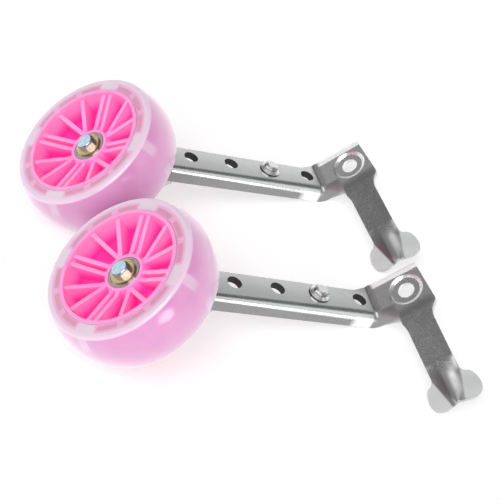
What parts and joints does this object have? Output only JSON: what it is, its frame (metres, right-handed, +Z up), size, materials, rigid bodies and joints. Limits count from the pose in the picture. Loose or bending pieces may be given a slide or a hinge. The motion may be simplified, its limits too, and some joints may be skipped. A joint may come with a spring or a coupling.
{
  "type": "bicycle training wheels",
  "caption": "Pair of bicycle training wheels: pink ball-bearing roller wheels on adjustable, bent sheet-steel brackets with a rear-axle plate and a chainstay saddle.",
  "frame": {"origin": "on the floor, under the middle of the box around both units", "axes": "+Z up from the floor; +X along the longest side, roughly from the wheels towards the axle plates; +Y from the front unit to the back unit"},
  "size_m": [0.3232, 0.246, 0.0857],
  "materials": {
    "steel_bracket": "zinc plated, satin",
    "steel_arm": "zinc plated, satin",
    "zinc_fastener": "bright blue zinc",
    "yellow_zinc": "yellow passivated zinc",
    "bearing_steel": "ground and polished",
    "cage_steel": "pressed, plain",
    "shield_steel": "pressed, satin",
    "core_plastic": "moulded, semi-gloss",
    "tyre_urethane": "cast translucent urethane, smooth"
  },
  "bodies": {
    "frames": {"front_outer_bearing_inner_ring": "bearing_steel", "front_inner_bearing_inner_ring": "bearing_steel", "front_bracket": "steel_bracket", "front_lower_arm": "steel_arm", "front_height_bolt": "zinc_fastener", "front_height_nut": "zinc_fastener", "front_axle_bolt": "zinc_fastener", "front_axle_washer": "yellow_zinc", "front_bearing_bushing": "zinc_fastener", "front_axle_standoff": "zinc_fastener", "front_lock_washer": "zinc_fastener", "front_lock_nut": "zinc_fastener", "back_outer_bearing_inner_ring": "bearing_steel", "back_inner_bearing_inner_ring": "bearing_steel", "back_bracket": "steel_bracket", "back_lower_arm": "steel_arm", "back_height_bolt": "zinc_fastener", "back_height_nut": "zinc_fastener", "back_axle_bolt": "zinc_fastener", "back_axle_washer": "yellow_zinc", "back_bearing_bushing": "zinc_fastener", "back_axle_standoff": "zinc_fastener", "back_lock_washer": "zinc_fastener", "back_lock_nut": "zinc_fastener"},
    "front_wheel": {"front_wheel_core": "core_plastic", "front_tyre": "tyre_urethane", "front_outer_bearing_outer_ring": "bearing_steel", "front_outer_bearing_outer_shield": "shield_steel", "front_outer_bearing_inner_shield": "shield_steel", "front_inner_bearing_outer_ring": "bearing_steel", "front_inner_bearing_outer_shield": "shield_steel", "front_inner_bearing_inner_shield": "shield_steel"},
    "front_ball_cages": {"front_outer_bearing_balls": "bearing_steel", "front_outer_bearing_cage": "cage_steel", "front_inner_bearing_balls": "bearing_steel", "front_inner_bearing_cage": "cage_steel"},
    "back_wheel": {"back_wheel_core": "core_plastic", "back_tyre": "tyre_urethane", "back_outer_bearing_outer_ring": "bearing_steel", "back_outer_bearing_outer_shield": "shield_steel", "back_outer_bearing_inner_shield": "shield_steel", "back_inner_bearing_outer_ring": "bearing_steel", "back_inner_bearing_outer_shield": "shield_steel", "back_inner_bearing_inner_shield": "shield_steel"},
    "back_ball_cages": {"back_outer_bearing_balls": "bearing_steel", "back_outer_bearing_cage": "cage_steel", "back_inner_bearing_balls": "bearing_steel", "back_inner_bearing_cage": "cage_steel"}
  },
  "joints": [
    {"name": "front_wheel_spin", "type": "hinge", "parent": "frames", "child": "front_wheel", "pos_m": [-0.06214, -0.06998, 0.04286], "axis": [-0.5544, -0.1882, 0.8107], "continuous": true},
    {"name": "front_cage_spin", "type": "hinge", "parent": "frames", "child": "front_ball_cages", "pos_m": [-0.06214, -0.06998, 0.04286], "axis": [-0.5544, -0.1882, 0.8107], "continuous": true},
    {"name": "back_wheel_spin", "type": "hinge", "parent": "frames", "child": "back_wheel", "pos_m": [-0.11104, 0.02702, 0.04286], "axis": [-0.5471, -0.2084, 0.8107], "continuous": true},
    {"name": "back_cage_spin", "type": "hinge", "parent": "frames", "child": "back_ball_cages", "pos_m": [-0.11104, 0.02702, 0.04286], "axis": [-0.5471, -0.2084, 0.8107], "continuous": true}
  ],
  "couplings": [
    {"joint": "front_cage_spin", "follows": "front_wheel_spin", "ratio": 0.6323},
    {"joint": "back_cage_spin", "follows": "back_wheel_spin", "ratio": 0.6323}
  ]
}
